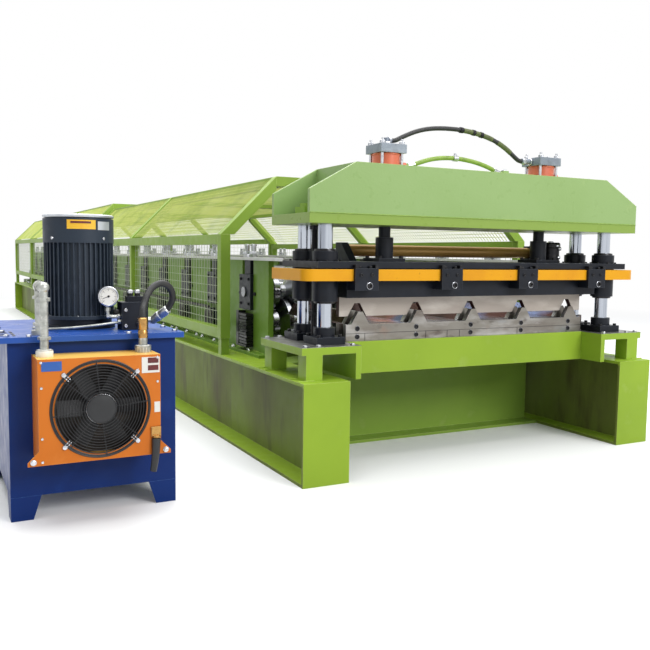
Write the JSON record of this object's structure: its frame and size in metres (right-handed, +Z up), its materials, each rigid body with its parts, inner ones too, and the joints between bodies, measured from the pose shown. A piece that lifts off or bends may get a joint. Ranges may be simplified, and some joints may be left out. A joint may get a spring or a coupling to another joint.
{
  "type": "roll forming machine",
  "caption": "Long roll former for trapezoidal roof sheet, with a mesh guard, a hydraulic cut-off shear on guide columns and a separate hydraulic power unit.",
  "frame": {"origin": "centre of the underside of the front cross member, on the floor", "axes": "+X across the machine, +Y along it towards the sheet's entry, +Z up; the shear is at the -Y end"},
  "size_m": [2.895, 10.383, 1.45],
  "materials": {
    "green_paint": "glossy lime green enamel",
    "blade_steel": "ground tool steel with oil stains",
    "black_paint": "blackened steel, satin",
    "chrome": "hard chrome, polished",
    "red_paint": "glossy red enamel",
    "grey_paint": "grey enamel",
    "black_rubber": "matt hose cover",
    "green_sleeve": "hose cover with green overspray",
    "yellow_paint": "glossy yellow enamel",
    "brown_tube": "brown coated tube",
    "bare_steel": "bare steel",
    "chain_steel": "oiled dark steel",
    "mesh_wire": "pale green coated wire",
    "blue_paint": "glossy royal blue enamel",
    "orange_paint": "orange powder coat",
    "core_fins": "dark fins",
    "fan_plastic": "black plastic and coated wire",
    "motor_grey": "slate grey enamel",
    "galvanised": "galvanised steel"
  },
  "bodies": {
    "frame": {"rail_left": "green_paint", "rail_right": "green_paint", "front_cross_member": "green_paint", "rear_cross_members": "green_paint", "table_left": "green_paint", "table_right": "green_paint", "shear_beam": "green_paint", "lower_blades": "blade_steel", "guide_plate": "bare_steel", "column_feet": "black_paint", "guide_columns": "chrome", "stop_rod": "black_paint", "crown": "green_paint", "cylinder_barrels": "red_paint", "cylinder_caps": "grey_paint", "upper_hose": "black_rubber", "lower_hose": "green_sleeve", "stand_left": "green_paint", "stand_right": "green_paint", "bearing_blocks": "black_paint", "lower_bearings": "black_paint", "tie_bars": "bare_steel", "adjusting_screws": "bare_steel", "upper_rolls": "chrome", "lower_rolls": "chrome", "chain_drive": "chain_steel", "entry_table": "bare_steel", "guard_posts": "green_paint", "guard_rails": "green_paint", "guard_slopes": "green_paint", "guard_top_bars": "green_paint", "side_mesh_left": "mesh_wire", "side_mesh_right": "mesh_wire", "roof_mesh_sides": "mesh_wire", "roof_mesh_top": "mesh_wire", "tank": "blue_paint", "tank_legs": "blue_paint", "tank_lid": "blue_paint", "cooler_housing": "orange_paint", "cooler_core": "core_fins", "fan_guard": "fan_plastic", "pump_bell": "black_paint", "motor": "motor_grey", "motor_cowl": "motor_grey", "valve_block": "black_paint", "pressure_gauge": "galvanised", "return_pipe": "galvanised", "return_hose": "black_rubber"},
    "crosshead": {"crosshead_beam": "black_paint", "crosshead_plate": "black_paint", "guide_bushings": "black_paint", "yellow_bar": "yellow_paint", "bar_clamps": "black_paint", "upper_blade": "blade_steel", "rear_tube": "brown_tube", "tube_brackets": "black_paint", "piston_rods": "black_paint"},
    "fan": {"cooler_fan": "fan_plastic"},
    "outlet_lower": {"outlet_lower_roll": "chrome"},
    "outlet_upper": {"outlet_upper_roll": "chrome"}
  },
  "joints": [
    {"name": "shear_stroke", "type": "slide", "parent": "frame", "child": "crosshead", "axis": [0, 0, -1], "range_m": [0, 0.045]},
    {"name": "fan_spin", "type": "hinge", "parent": "frame", "child": "fan", "pos_m": [-1.6795, -0.674, 0.3825], "axis": [0, -1, 0], "continuous": true},
    {"name": "outlet_lower_spin", "type": "hinge", "parent": "frame", "child": "outlet_lower", "pos_m": [0, 0.339, 0.527], "axis": [1, 0, 0], "continuous": true},
    {"name": "outlet_upper_spin", "type": "hinge", "parent": "frame", "child": "outlet_upper", "pos_m": [0, 0.339, 0.697], "axis": [1, 0, 0], "continuous": true}
  ],
  "couplings": [
    {"joint": "outlet_upper_spin", "follows": "outlet_lower_spin", "ratio": -1}
  ]
}
